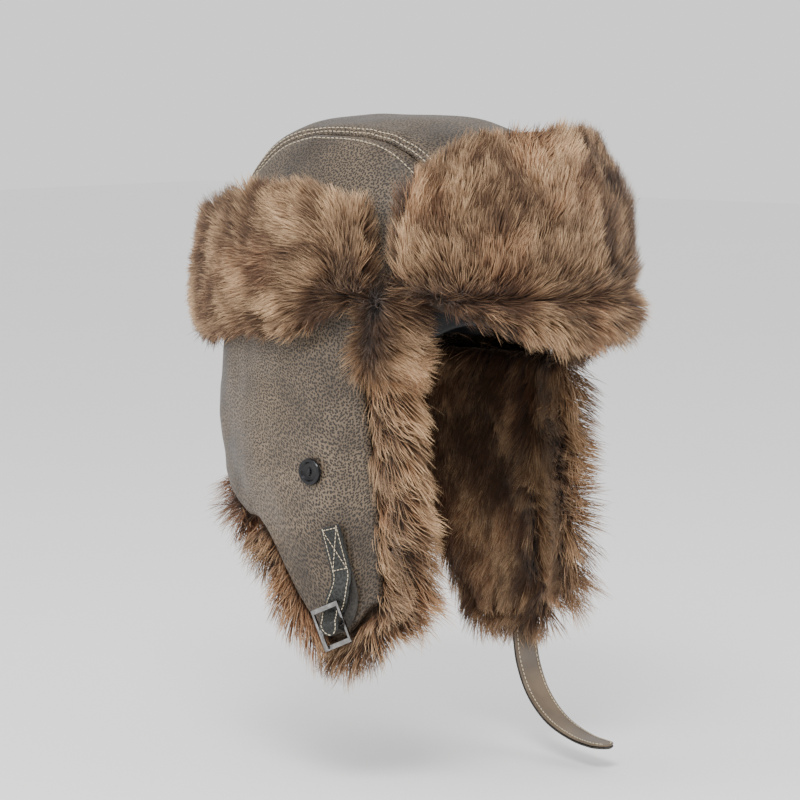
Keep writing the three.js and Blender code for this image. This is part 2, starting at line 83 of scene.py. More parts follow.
BUTTON_ANGLE = 84.5
BUTTON_DROP = 0.0686
STRAP_ANGLE = 77.6
STRAP_DROP = 0.101
STRAP_TILT = math.radians(15)
BUCKLE_TILT = math.radians(24)
BUCKLE_CENTRE = (4.4, -58.5, 8.6)
BOX_LENGTH = 26

CHIN_ANGLE = 77
CHIN_TURN = math.radians(163)
CHIN_WIDTH = 0.017
CHIN_PLY = 0.0013
CHIN_HINGE = -0.191

FLOOR_HEIGHT = -0.262
CAMERA_AZIMUTH = math.radians(49)
CAMERA_ELEVATION = math.radians(6)
CAMERA_DISTANCE = 2.2
PICTURE_WIDTH = 0.496

UP = np.array([0, 0, 1.0])
MIRROR = Matrix.Diagonal((-1, 1, 1, 1))


# ---------------------------------------------------------------- shapes


def smooth(x, low, high):
    """0 below low, 1 above high, and a soft rise between."""
    t = np.clip((x - low) / (high - low), 0, 1)
    return t * t * (3 - 2 * t)


def ease(x, low, high, start, end):
    """A half cosine from start at low to end at high."""
    t = np.clip((x - low) / (high - low), 0, 1)
    return start + (end - start) * (1 - np.cos(np.pi * t)) / 2


def around(angle, grow, height):
    """Points on the hat's oval: angle in degrees from the brow towards the right ear, grow outwards."""
    a = np.radians(angle)
    x = -(HALF_WIDTH + grow) * np.sin(a)
    y = -(HALF_LENGTH + grow) * np.cos(a)
    return np.stack(np.broadcast_arrays(x, y, height), -1)


def angle_of(points):
    """The oval's angle at each point, in degrees, the same on both sides."""
    return np.degrees(np.arctan2(np.abs(points[..., 0]) / HALF_WIDTH, -points[..., 1] / HALF_LENGTH))


def angle_at(y):
    """The oval's angle where it passes y."""
    return math.degrees(math.acos(-y / HALF_LENGTH))


def outward(points):
    """The oval's outward direction at each point."""
    n = points * np.array([1 / HALF_WIDTH**2, 1 / HALF_LENGTH**2, 0])
    return unit(n)


def unit(v):
    """Each vector scaled to a length of 1."""
    return v / np.maximum(np.linalg.norm(v, axis=-1, keepdims=True), 1e-12)


def hashed(cells, seed):
    """A repeatable number from 0 to 1 for each whole-number cell."""
    h = cells[..., 0] * 374761393 + cells[..., 1] * 668265263 + cells[..., 2] * 2147483647 + seed * 974711
    h = (h ^ (h >> 13)) * 1274126177
    return ((h ^ (h >> 16)) & 0xFFFFFF) / 0xFFFFFF


def noise(points, size, seed=0):
    """Smooth noise from 0 to 1 whose lumps are about size metres across."""
    p = np.asarray(points, float) / size + 100.0
    cell = np.floor(p).astype(np.int64)
    t = p - cell
    t = t * t * (3 - 2 * t)
    total = 0
    for corner in np.ndindex(2, 2, 2):
        c = np.array(corner)
        weight = np.prod(np.where(c == 1, t, 1 - t), axis=-1)
        total = total + weight * hashed(cell + c, seed)
    return total


def mesh_object(name, points, faces, smooth_shaded=True):
    """A new object in the scene with the given points and faces."""
    mesh = bpy.data.meshes.new(name)
    mesh.from_pydata([tuple(p) for p in np.asarray(points, float).reshape(-1, 3)], [], faces)
    mesh.update()
    if smooth_shaded:
        mesh.polygons.foreach_set("use_smooth", np.ones(len(mesh.polygons), bool))
    obj = bpy.data.objects.new(name, mesh)
    bpy.context.scene.collection.objects.link(obj)
    return obj


def grid_faces(rows, columns, start=0, flip=False):
    """The four-sided faces of a grid of points that are numbered row by row from start."""
    faces = []
    for r in range(rows - 1):
        for c in range(columns - 1):
            a = start + r * columns + c
            face = (a, a + 1, a + columns + 1, a + columns)
            faces.append(face[::-1] if flip else face)
    return faces


def set_grain(obj, across, along):
    """Stores where each point lies on the flat hide, in metres, which the grain of the leather follows."""
    spots = np.stack([across, along, np.zeros_like(across)], -1).astype(np.float32)
    obj.data.attributes.new("Grain", "FLOAT_VECTOR", "POINT").data.foreach_set("vector", spots.ravel())
    return obj


def shell_object(name, outer, inner):
    """A closed leather-like body between two grids of points, outer and inner, each rows x columns."""
    rows, columns = outer.shape[:2]
    count = rows * columns
    faces = grid_faces(rows, columns) + grid_faces(rows, columns, count, flip=True)
    rim = list(range(columns))
    rim += [r * columns + columns - 1 for r in range(1, rows)]
    rim += [(rows - 1) * columns + c for c in range(columns - 2, -1, -1)]
    rim += [r * columns for r in range(rows - 2, 0, -1)]
    for a, b in zip(rim, rim[1:] + rim[:1]):
        faces.append((b, a, a + count, b + count))
    obj = mesh_object(name, np.concatenate([outer.reshape(-1, 3), inner.reshape(-1, 3)]), faces)
    rise = np.linalg.norm(np.diff(outer, axis=0, prepend=outer[:1]), axis=-1).cumsum(0)
    reach = np.linalg.norm(np.diff(outer, axis=1, prepend=outer[:, :1]), axis=-1)
    reach = np.broadcast_to(reach.mean(0).cumsum()[None, :], rise.shape)
    rise = np.broadcast_to(rise.max(1)[:, None], rise.shape)
    return set_grain(obj, np.tile(reach.ravel(), 2), np.tile(rise.ravel(), 2))


# ---------------------------------------------------------------- materials


class Finish:
    """A material under construction: a principled shader and the nodes that feed it."""

    def __init__(self, name, **numbers):
        self.material = bpy.data.materials.new(name)
        self.material.use_nodes = True
        self.tree = self.material.node_tree
        self.shader = self.tree.nodes["Principled BSDF"]
        for socket, value in numbers.items():
            self.shader.inputs[socket.replace("_", " ")].default_value = value
        self.place = self.node("ShaderNodeTexCoord").outputs["Object"]

    def node(self, kind, inputs=None, **settings):
        n = self.tree.nodes.new(kind)
        for key, value in settings.items():
            setattr(n, key, value)
        for key, value in (inputs or {}).items():
            if isinstance(value, bpy.types.NodeSocket):
                self.tree.links.new(value, n.inputs[key])
            else:
                n.inputs[key].default_value = value
        return n

    def noise(self, scale, detail=3.0, roughness=0.55, stretch=None):
        where = self.place
        if stretch:
            where = self.node("ShaderNodeMapping", {"Vector": where, "Scale": stretch}).outputs["Vector"]
        numbers = {"Vector": where, "Scale": scale, "Detail": detail, "Roughness": roughness}
        return self.node("ShaderNodeTexNoise", numbers).outputs["Fac"]

    def grain(self, scale, randomness=1.0):
        """Distance to the nearest pit of the hide."""
        hide = self.node("ShaderNodeAttribute", attribute_name="Grain").outputs["Vector"]
        return self.node(
            "ShaderNodeTexVoronoi",
            {"Vector": hide, "Scale": scale, "Randomness": randomness},
            voronoi_dimensions="2D",
        ).outputs["Distance"]

    def spread(self, value, low, high, to_low=0.0, to_high=1.0):
        """Maps a value from low..high to to_low..to_high, with smooth ends."""
        return self.node(
            "ShaderNodeMapRange",
            {"Value": value, "From Min": low, "From Max": high, "To Min": to_low, "To Max": to_high},
            interpolation_type="SMOOTHSTEP",
        ).outputs["Result"]

    def maths(self, operation, a, b):
        return self.node("ShaderNodeMath", {0: a, 1: b}, operation=operation).outputs[0]

    def mix(self, share, a, b):
        """A blend of two colours; inputs 6 and 7 are the node's colour sockets."""
        return self.node("ShaderNodeMix", {"Factor": share, 6: a, 7: b}, data_type="RGBA").outputs[2]

    def colour(self, socket):
        self.tree.links.new(socket, self.shader.inputs["Base Color"])
        return self

    def rough(self, value, low, high):
        self.tree.links.new(self.spread(value, 0.3, 0.7, low, high), self.shader.inputs["Roughness"])
        return self

    def bump(self, height, distance, strength=1.0):
        normal = self.node("ShaderNodeBump", {"Height": height, "Distance": distance, "Strength": strength})
        self.tree.links.new(normal.outputs["Normal"], self.shader.inputs["Normal"])
        return self.material


def rgb(*values):
    return (*values, 1.0)


def leather(name, light, mid, dark, rub=0.5, sheen=0.06):
    """Grained leather with dark pits, cloudy mottling and paler rubbed patches."""
    f = Finish(name, Coat_Weight=sheen, Coat_Roughness=0.35, Specular_IOR_Level=0.45)
    cloud = f.noise(26, 4)
    rubbed = f.maths("MULTIPLY", f.spread(f.noise(9, 3, 0.6), 0.48, 0.68), rub)
    pits = f.spread(f.grain(560, 0.85), 0.27, 0.42, 1.0, 0.0)
    fine = f.spread(f.grain(1100), 0.14, 0.26, 0.6, 0.0)
    dents = f.maths("MAXIMUM", pits, fine)
    shade = f.mix(f.spread(cloud, 0.34, 0.66), rgb(*dark), rgb(*mid))
    shade = f.mix(rubbed, shade, rgb(*light))
    tint = f.maths("MULTIPLY", dents, 0.93)
    f.colour(f.mix(tint, shade, rgb(*(c * 0.12 for c in dark))))
    f.rough(cloud, 0.42, 0.62)
    height = f.maths("SUBTRACT", f.maths("MULTIPLY", cloud, 0.5), dents)
    return f.bump(height, 0.0006, 0.8)


def satin(name, shade, edge):
    """Dark woven lining with soft ripples, whose raised crests are painted in the paler edge colour, a painted
    sheen.
    """
    f = Finish(name, Specular_IOR_Level=0.25)
    ripple = f.noise(60, 2, 0.5, (1, 1, 0.25))
    # Where the ripples rise the colour runs to the paler edge colour: a painted sheen on the crests.
    f.colour(f.mix(f.spread(ripple, 0.35, 0.7), rgb(*shade), rgb(*edge)))
    f.rough(ripple, 0.40, 0.60)
    return f.bump(f.maths("ADD", ripple, f.maths("MULTIPLY", f.noise(1400, 1), 0.15)), 0.0012, 0.7)


def felt(name, shade, pale):
    """The fabric that the pile grows from, and the brushed backing of the turned-up flaps."""
    f = Finish(name, Roughness=0.95)
    lint = f.noise(700, 3, 0.7)
    f.colour(f.mix(f.spread(lint, 0.35, 0.65), rgb(*shade), rgb(*pale)))
    return f.bump(lint, 0.0008, 0.6)


def hair(name):
    """Fur whose colour is painted on each strand and broken up along it."""
    f = Finish(name, Roughness=0.62, Specular_IOR_Level=0.3, Sheen_Weight=0.12)
    painted = f.node("ShaderNodeAttribute", attribute_name="Coat").outputs["Color"]
    streak = f.spread(f.noise(520, 2, 0.6), 0.3, 0.7, 0.82, 1.12)
    f.colour(f.node("ShaderNodeVectorMath", {0: painted, 1: streak}, operation="MULTIPLY").outputs["Vector"])
    return f.material


def thread_finish(name, shade, pale):
    """Twisted sewing thread."""
    f = Finish(name, Roughness=0.8)
    twist = f.noise(1500, 1, 0.5)
    f.colour(f.mix(f.spread(twist, 0.35, 0.65), rgb(*shade), rgb(*pale)))
    return f.bump(twist, 0.0002, 0.6)


def glossy(name, shade, pale, metallic, low, high):
    """Polished button resin or plated metal with faint wear."""
    f = Finish(name, Metallic=metallic, Specular_IOR_Level=0.5 if metallic else 0.3)
    wear = f.noise(240, 4, 0.65)
    f.colour(f.mix(f.spread(wear, 0.4, 0.75), rgb(*shade), rgb(*pale)))
    f.rough(wear, low, high)
    return f.bump(wear, 0.0001, 0.35)


# Each finish: the function that makes it, then its colours and other numbers.
FINISHES = {
    "Hat leather": (leather, (0.270, 0.200, 0.135), (0.135, 0.097, 0.062), (0.062, 0.043, 0.027)),
    "Strap leather": (leather, (0.06, 0.06, 0.05), (0.022, 0.024, 0.02), (0.011, 0.012, 0.01), 0.35, 0.02),
    "Leather edge": (felt, (0.020, 0.018, 0.016), (0.045, 0.040, 0.034)),
    # The second colour of each satin is the painted sheen on its ripple crests.
    "Black satin": (satin, (0.004, 0.004, 0.005), (0.012, 0.012, 0.014)),
    "Sweatband satin": (satin, (0.010, 0.010, 0.011), (0.030, 0.030, 0.033)),
    "Pile fabric": (felt, (0.035, 0.020, 0.011), (0.075, 0.045, 0.026)),
    "Flap backing": (felt, (0.050, 0.036, 0.028), (0.095, 0.072, 0.056)),
    "Fur": (hair,),
    "Cream thread": (thread_finish, (0.42, 0.34, 0.23), (0.62, 0.53, 0.38)),
    "Black thread": (thread_finish, (0.006, 0.006, 0.007), (0.020, 0.020, 0.022)),
    "Black button": (glossy, (0.004, 0.004, 0.005), (0.012, 0.012, 0.013), 0.0, 0.12, 0.26),
    "Nickel": (glossy, (0.16, 0.155, 0.15), (0.34, 0.33, 0.32), 1.0, 0.16, 0.34),
}
MATERIALS = {}


def finish_of(name):
    """Each finish is made once, when a piece first asks for it."""
    if name not in MATERIALS:
        maker, *values = FINISHES[name]
        MATERIALS[name] = maker(name, *values)
    return MATERIALS[name]


def dress(obj, finish):
    """Gives a piece its finish as its only material."""
    obj.data.materials.clear()
    obj.data.materials.append(finish_of(finish))
    return obj


# ---------------------------------------------------------------- fur

# Root, middle and tip colours of the pile, and the red-brown that tints some patches.
ROOT_BROWN = np.array([0.026, 0.012, 0.006])
DARK_BROWN = np.array([0.075, 0.034, 0.016])
MID_BROWN = np.array([0.210, 0.098, 0.040])
RED_BROWN = np.array([0.290, 0.105, 0.034])
PALE_TAN = np.array([0.820, 0.560, 0.320])

STRAND_WIDTH = 0.00042
STRANDS_PER_TUFT = 15
ROOT_LIFT = 0.75
TIP_LIFT = 0.35
TEMPLE_PILE = 0.024


def rounded(name, nodes, voxel, rounds=8):
    """One smooth closed mesh over the named nodes of the frame."""
    points, faces = [], []
    for part in (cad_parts[n].data for n in nodes):
        base = len(points)
        points += [v.co[:] for v in part.vertices]
        faces += [tuple(base + i for i in p.vertices) for p in part.polygons]
    raw = mesh_object(name + "_raw", points, faces)
    weld = raw.modifiers.new("Weld", "WELD")
    weld.merge_threshold = 1e-5
    remesh = raw.modifiers.new("Remesh", "REMESH")
    remesh.mode = "VOXEL"
    remesh.voxel_size = voxel
    relax = raw.modifiers.new("Relax", "SMOOTH")
    relax.iterations = rounds
    bpy.context.view_layer.update()
    mesh = bpy.data.meshes.new_from_object(raw.evaluated_get(bpy.context.evaluated_depsgraph_get()))
    bpy.data.objects.remove(raw)
    mesh.name = name
    return mesh


def mesh_arrays(mesh):
    """A mesh's points, its point normals and the corners of its triangles."""
    points = np.empty(len(mesh.vertices) * 3, np.float32)
    mesh.vertices.foreach_get("co", points)
    normals = np.empty(len(mesh.vertices) * 3, np.float32)
    mesh.vertex_normals.foreach_get("vector", normals)
    mesh.calc_loop_triangles()
    corners = np.empty(len(mesh.loop_triangles) * 3, np.int32)
    mesh.loop_triangles.foreach_get("vertices", corners)
    points, normals = (a.reshape(-1, 3).astype(float) for a in (points, normals))
    return points, normals, corners.reshape(-1, 3)


def pad(name, nodes, depth, voxel=0.003, rounds=8, shape=None):
    """The fabric under the pile: the frame's fur bodies drawn in by the depth of the pile, then shaped."""
    mesh = rounded(name, nodes, voxel, rounds)
    points, normals, _ = mesh_arrays(mesh)
    uneven = 1 + 0.5 * (noise(points, 0.03, 4) - 0.5)
    points = points - normals * (depth * uneven)[:, None]
    if shape is not None:
        points = points + shape(points, normals)
    mesh.vertices.foreach_set("co", points.astype(np.float32).ravel())
    mesh.polygons.foreach_set("use_smooth", np.ones(len(mesh.polygons), bool))
    mesh.update()
    obj = bpy.data.objects.new(name, mesh)
    bpy.context.scene.collection.objects.link(obj)
    return dress(obj, "Pile fabric")


def scatter(rng, mesh, count, share):
    """Random roots on a mesh, with their normals. share weighs each spot from its position and normal."""
    points, normals, corners = mesh_arrays(mesh)
    a, b, c = (points[corners[:, i]] for i in range(3))
    middle = (a + b + c) / 3
    facing = unit(normals[corners].sum(1))
    weight = np.linalg.norm(np.cross(b - a, c - a), axis=1) * share(middle, facing)
    chosen = rng.choice(len(corners), count, p=weight / weight.sum())
    u, v = rng.random((2, count))
    fold = u + v > 1
    u[fold], v[fold] = 1 - u[fold], 1 - v[fold]
    w = np.stack([1 - u - v, u, v], 1)
    tri = corners[chosen]
    return np.einsum("ij,ijk->ik", w, points[tri]), unit(np.einsum("ij,ijk->ik", w, normals[tri]))


def nearest(points, centres):
    """The index of the centre nearest to each point, found in chunks to save memory."""
    chunk = 2000
    found = np.empty(len(points), np.int64)
    for i in range(0, len(points), chunk):
        part = points[i : i + chunk]
        found[i : i + chunk] = (-2 * part @ centres.T + (centres**2).sum(1)).argmin(1)
    return found


def sway(points, size, seed):
    """A smooth random direction at each point, that changes over about size metres."""
    return np.stack([noise(points, size, seed + i) - 0.5 for i in range(3)], -1) * 2


def fur(name, base, count, length, flow, seed, share=None, tone=None):
    """Strands of pile grown on the pad base.

    flow gives the combing direction at each root, share how densely they grow there, and tone how pale
    the strand is, from -1 to 1. length is a number or a function of the roots.
    """
    rng = np.random.default_rng(seed)
    roots, normals = scatter(rng, base.data, count, share or (lambda p, n: np.ones(len(p))))
    ruffle = sway(roots, 0.013, seed) * 0.55 + sway(roots, 0.005, seed + 9) * 0.35
    comb = unit(flow(roots, normals)) + ruffle + rng.normal(0, 0.16, roots.shape)
    comb -= normals * (comb * normals).sum(1, keepdims=True)
    comb = unit(comb)
    rise = ROOT_LIFT * rng.uniform(0.8, 1.2, (count, 1))
    rest = TIP_LIFT * rng.uniform(0.6, 1.4, (count, 1))
    start = unit(normals * rise + comb * np.sqrt(np.clip(1 - rise**2, 0.05, 1)))
    end = unit(normals * rest + comb + rng.normal(0, 0.10, roots.shape))
    reach = length(roots, normals)[:, None] if callable(length) else length
    uneven = (0.85 + 0.3 * noise(roots, 0.02, seed + 3))[:, None]
    span = reach * rng.uniform(0.72, 1.12, (count, 1)) * uneven

    centres = rng.choice(count, count // STRANDS_PER_TUFT, replace=False)
    leader = centres[nearest(roots, roots[centres])]
    pull = rng.uniform(0.15, 0.6, (count, 1))
    levels = [(0.0, 0.85), (0.36, 1.0), (0.72, 0.7), (1.0, 0.0)]
    across = unit(np.cross(start + end, normals) + rng.normal(0, 0.45, roots.shape))
    across -= unit(end) * (across * unit(end)).sum(1, keepdims=True)
    across = unit(across) * (STRAND_WIDTH / 2) * rng.uniform(0.7, 1.25, (count, 1))
    corners = np.empty((count, 7, 3), np.float32)
    for i, (s, w) in enumerate(levels):
        line = roots + span * (start * (s - s * s / 2) + end * (s * s / 2)) * 1.12
        gather = pull * s**1.5
        middle = line * (1 - gather) + (line[leader] + (roots - roots[leader]) * 0.35) * gather
        if w:
            corners[:, 2 * i] = middle - across * w
            corners[:, 2 * i + 1] = middle + across * w
        else:
            corners[:, 6] = middle

    streaked = roots * np.array([1, 1, 0.5])
    patch = noise(streaked, 0.014, seed + 20) * 0.55 + noise(streaked, 0.006, seed + 21) * 0.45
    pale = np.clip((patch - 0.55) * 3.4 + rng.normal(0, 0.42, count), -1, 1)
    if tone is not None:
        pale = np.clip(pale + tone(roots, normals), -1, 1)
    pale = (pale * 0.75 + pale[leader] * 0.25)[:, None]
    red = (smooth(noise(roots, 0.028, seed + 30), 0.45, 0.75) * 0.8)[:, None]
    body = MID_BROWN * (1 - red) + RED_BROWN * red
    body = body * (0.75 + 0.45 * np.clip(pale, -1, 1)) * rng.uniform(0.8, 1.2, (count, 1))
    tips = DARK_BROWN + (PALE_TAN - DARK_BROWN) * np.clip(0.5 + 0.6 * pale, 0, 1)
    paint = np.ones((count, 7, 4), np.float32)
    for i, (s, _) in enumerate(levels):
        shade = ROOT_BROWN + (body - ROOT_BROWN) * smooth(s, 0.0, 0.62)
        shade = shade + (tips - shade) * smooth(s, 0.5, 1.05)
        paint[:, 2 * i : 2 * i + 2, :3] = shade[:, None, :]
    return strand_object(name, corners, paint)


def strand_object(name, corners, paint):
    """One mesh of tapered strands: two quads and a point each."""
    count = len(corners)
    first = np.arange(count)[:, None] * 7
    quads = (first[:, None, :] + np.array([[0, 1, 3, 2], [2, 3, 5, 4]])[None]).reshape(-1)
    points = (first + np.array([4, 5, 6])).reshape(-1)
    mesh = bpy.data.meshes.new(name)
    mesh.vertices.add(count * 7)
    mesh.vertices.foreach_set("co", corners.ravel())
    mesh.loops.add(count * 11)
    mesh.loops.foreach_set("vertex_index", np.concatenate([quads, points]).astype(np.int32))
    mesh.polygons.add(count * 3)
    starts = np.concatenate([np.arange(count * 2) * 4, count * 8 + np.arange(count) * 3])
    mesh.polygons.foreach_set("loop_start", starts.astype(np.int32))
    mesh.polygons.foreach_set("use_smooth", np.ones(count * 3, bool))
    mesh.update(calc_edges=True)
    coat = mesh.color_attributes.new("Coat", "FLOAT_COLOR", "POINT")
    coat.data.foreach_set("color", paint.ravel())
    obj = bpy.data.objects.new(name, mesh)
    bpy.context.scene.collection.objects.link(obj)
    return dress(obj, "Fur")


# ---------------------------------------------------------------- leather


def grid_normals(points, outside):
    """Unit normals of a grid of points, turned to face the way outside does."""
    down = np.gradient(points, axis=0)
    along = np.gradient(points, axis=1)
    n = np.cross(down, along)
    flat = np.linalg.norm(n, axis=-1, keepdims=True) < 1e-10
    n = unit(np.where(flat, outside, n))
    return n * np.where((n * outside).sum(-1, keepdims=True) < 0, -1, 1)


def rim_height(points):
    """Height of the crown's lower edge, which rises over the brow."""
    return BROW_RISE * (1 - smooth(angle_of(points), BROW_ANGLE, TEMPLE_ANGLE))


def dome(x, turn):
    """The crown cut by upright planes: at each x, turn runs from 0 at the brow to pi at the back."""
    x, turn = np.broadcast_arrays(x, turn)
    reach = HALF_LENGTH * np.sqrt(np.clip(1 - (x / HALF_WIDTH) ** 2, 0, 1))
    cos = np.cos(turn)
    y = -reach * np.sign(cos) * np.abs(cos) ** 0.8
    radius = np.sqrt((x / HALF_WIDTH) ** 2 + (y / HALF_LENGTH) ** 2)
    z = CROWN_HEIGHT * np.clip(1 - radius**DOME_POWER, 0, 1) ** (1 / DOME_POWER)
    points = np.stack([x, y, z], -1)
    points[..., 2] += (1 - smooth(z, 0, CROWN_HEIGHT / 2)) * rim_height(points)
    return points


def crown_relief(points):
    """How far the crown's leather stands out: sunk at the seams, puckered beside them, slack on top."""
    off = np.abs(np.abs(points[..., 0]) - SEAM_X)
    groove = -0.0017 * np.exp(-((off / 0.0024) ** 2))
    swell = 0.0011 * np.exp(-(((off - 0.0075) / 0.006) ** 2))
    pucker = 0.0016 * np.exp(-off / 0.016) * (noise(points * np.array([0.2, 1, 1]), 0.009, 40) - 0.5)
    slack = 0.0042 * (noise(points, 0.052, 41) - 0.5) + 0.0016 * (noise(points, 0.021, 42) - 0.5)
    return groove + swell + pucker + slack


def crown_normals(points):
    """Normals of the crown's surface, facing away from the middle of the head."""
    return grid_normals(points, points + 0.02 * UP)


def crown_surface(x, turn):
    """The dome with its relief, which fades out towards the front and back ends."""
    points = dome(x, turn)
    fade = smooth(turn, 0, 0.12) * smooth(math.pi - turn, 0, 0.12)
    return points + crown_normals(points) * (crown_relief(points) * fade)[..., None]


def crown_panel(name, xs):
    """The leather of the crown over the given range of x."""
    turn = np.linspace(0, math.pi, 150)[:, None]
    outer = crown_surface(np.asarray(xs)[None, :], turn)
    return shell_object(name, outer, outer - crown_normals(outer) * CROWN_LEATHER)


def ear_bottom(angle, hang):
    """Height of an ear flap's lower edge; hang lowers its rear part."""
    front = ease(angle, FLAP_FRONT_ANGLE, TIP_ANGLE, -FLAP_FRONT_DROP, -TIP_DROP)
    rear = ease(angle, TIP_ANGLE, FLAP_REAR_ANGLE, -TIP_DROP, -FLAP_REAR_DROP)
    slack = hang * smooth(angle, 79, 93) * (1 - 0.45 * smooth(angle, 95, FLAP_REAR_ANGLE))
    return np.where(angle < TIP_ANGLE, front, rear) - slack


def neck_bottom(angle):
    """Height of the neck flap's lower edge."""
    turn = np.where(angle > 180, 360 - angle, angle)
    return ease(turn, FLAP_REAR_ANGLE, NECK_ANGLE, -FLAP_REAR_DROP, -NECK_DROP)


def skin_height(bottom, v):
    """Height on a flap's leather, from v = 0 at its lower edge to v = 1 under the cuff."""
    return bottom + (TOP_OF_LEATHER - bottom) * v**0.9


def soft_skin(name, angles, bottom, edge):
    """A soft leather sheet that hangs from under the cuff to the flap's lower edge.

    angles and bottom are grids, edge the distance in metres of each point from the sheet's free edge.
    """
    height = skin_height(bottom, np.linspace(0, 1, angles.shape[0])[:, None])
    flat = around(angles, 0.0, height)
    off = 0.0024 - 0.0018 * smooth(height, -0.004, 0.014)
    belly = 0.0030 * smooth(edge, 0, 0.040) * smooth(-height, -0.004, 0.05)
    fold = 0.0046 * (noise(flat * np.array([1, 1, 0.6]), 0.034, 50) - 0.5)
    small = 0.0018 * (noise(flat, 0.014, 51) - 0.5)
    live = smooth(edge, 0, 0.016) * smooth(TOP_OF_LEATHER - height, 0, 0.02)
    off_button = (np.radians(angles - BUTTON_ANGLE) * 0.1 / 0.016) ** 2
    off_button = off_button + ((height + BUTTON_DROP) / 0.016) ** 2
    off_strap = (np.radians(angles - STRAP_ANGLE) * 0.1 / 0.014) ** 2
    strap = np.exp(-off_strap) * (1 - smooth(height, -0.098, -0.086))
    calm = (1 - np.exp(-off_button)) * (1 - strap)
    turned = -0.0030 * (1 - smooth(edge, 0, 0.0045)) ** 2
    grow = off + (belly + (fold + small) * live) * calm + turned
    outer = around(angles, grow, height)
    inner = around(angles, grow - FLAP_LEATHER, height)
    return shell_object(name, outer, inner)


def ear_skin(name, side):
    """An ear flap's leather; side is -1 for the right flap and 1 for the left one."""
    rows, columns = 90, 70
    u = np.linspace(0, 1, columns)[None, :]
    v = np.linspace(0, 1, rows)[:, None]
    front = FLAP_FRONT_ANGLE + 7 * smooth(v, 0.0, 0.95)
    last = angle_at(SPLIT_Y + 0.003)
    angles = front + (last - front) * u
    bottom = ear_bottom(angles, LEFT_HANG if side > 0 else 0.0)
    edge = np.minimum(np.radians(angles - front) * 0.1, skin_height(bottom, v) - bottom)
    obj = soft_skin(name, angles, bottom, edge)
    if side > 0:
        obj.data.transform(MIRROR)
        obj.data.flip_normals()
    return obj


def neck_skin(name):
    """The neck flap's leather, from one ear flap's rear edge round the nape to the other's."""
    rows, columns = 50, 110
    u = np.linspace(0, 1, columns)[None, :]
    v = np.linspace(0, 1, rows)[:, None]
    start = angle_at(SPLIT_Y - 0.003)
    angles = start + (360 - 2 * start) * u + 0 * v
    bottom = neck_bottom(angles)
    return soft_skin(name, angles, bottom, skin_height(bottom, v) - bottom)


# ---------------------------------------------------------------- stitches


def resample(points, pitch):
    """Evenly spaced places along a line of points, and the direction at each."""
    steps = np.linalg.norm(np.diff(points, axis=0), axis=1)
    run = np.concatenate([[0], np.cumsum(steps)])
    at = np.arange(pitch / 2, run[-1], pitch)
    soon = np.minimum(at + pitch / 3, run[-1])
    places, ahead = (np.stack([np.interp(t, run, points[:, i]) for i in range(3)], -1) for t in (at, soon))
    return places, unit(ahead - places + 1e-12)


def stitches(name, lines, pitch=0.0034, length=0.0026, radius=0.00032):
    """Rows of short thread stitches. lines are pairs of a line of points and the normals there."""
    rng = np.random.default_rng(7)
    rings = [(-0.5, 0.35, -0.5), (-0.3, 0.95, 0.1), (0.0, 1.0, 0.35), (0.3, 0.95, 0.1), (0.5, 0.35, -0.5)]
    spokes = 6
    turn = np.arange(spokes) * 2 * math.pi / spokes
    points, faces = [], []
    for line, normals in lines:
        places, along = resample(np.asarray(line), pitch)
        up = np.asarray(normals)[nearest(places, np.asarray(line))]
        up = unit(up - along * (up * along).sum(1, keepdims=True))
        side = np.cross(along, up)
        for p, t, n, s in zip(places, along, up, side):
            t = unit(t + s * rng.normal(0, 0.05))
            base = len(points)
            for where, size, rise in rings:
                middle = p + t * where * length + n * radius * (rise + 0.35)
                points += [middle + radius * size * (math.cos(a) * s + math.sin(a) * n) for a in turn]
            for r in range(len(rings) - 1):
                for k in range(spokes):
                    a, b = base + r * spokes + k, base + r * spokes + (k + 1) % spokes
                    faces.append((a, b, b + spokes, a + spokes))
            faces.append(tuple(base + k for k in range(spokes))[::-1])
            faces.append(tuple(base + (len(rings) - 1) * spokes + k for k in range(spokes)))
    return dress(mesh_object(name, points, faces), "Cream thread")


# ---------------------------------------------------------------- straps


def spline(points, count):
    """Evenly spaced places along a smooth curve through the points."""
    p = np.asarray(points, float)
    p = np.concatenate([2 * p[:1] - p[1:2], p, 2 * p[-1:] - p[-2:-1]])
    t = np.linspace(0, 1, 24, endpoint=False)[:, None]
    runs = []
    for a, b, c, d in zip(p, p[1:], p[2:], p[3:]):
        square = (2 * a - 5 * b + 4 * c - d) * t**2
        cube = (3 * b - a - 3 * c + d) * t**3
        runs.append(0.5 * (2 * b + (c - a) * t + square + cube))
    line = np.concatenate([*runs, p[-2:-1]])
    run = np.concatenate([[0], np.cumsum(np.linalg.norm(np.diff(line, axis=0), axis=1))])
    at = np.linspace(0, run[-1], count)
    return np.stack([np.interp(at, run, line[:, i]) for i in range(3)], -1)


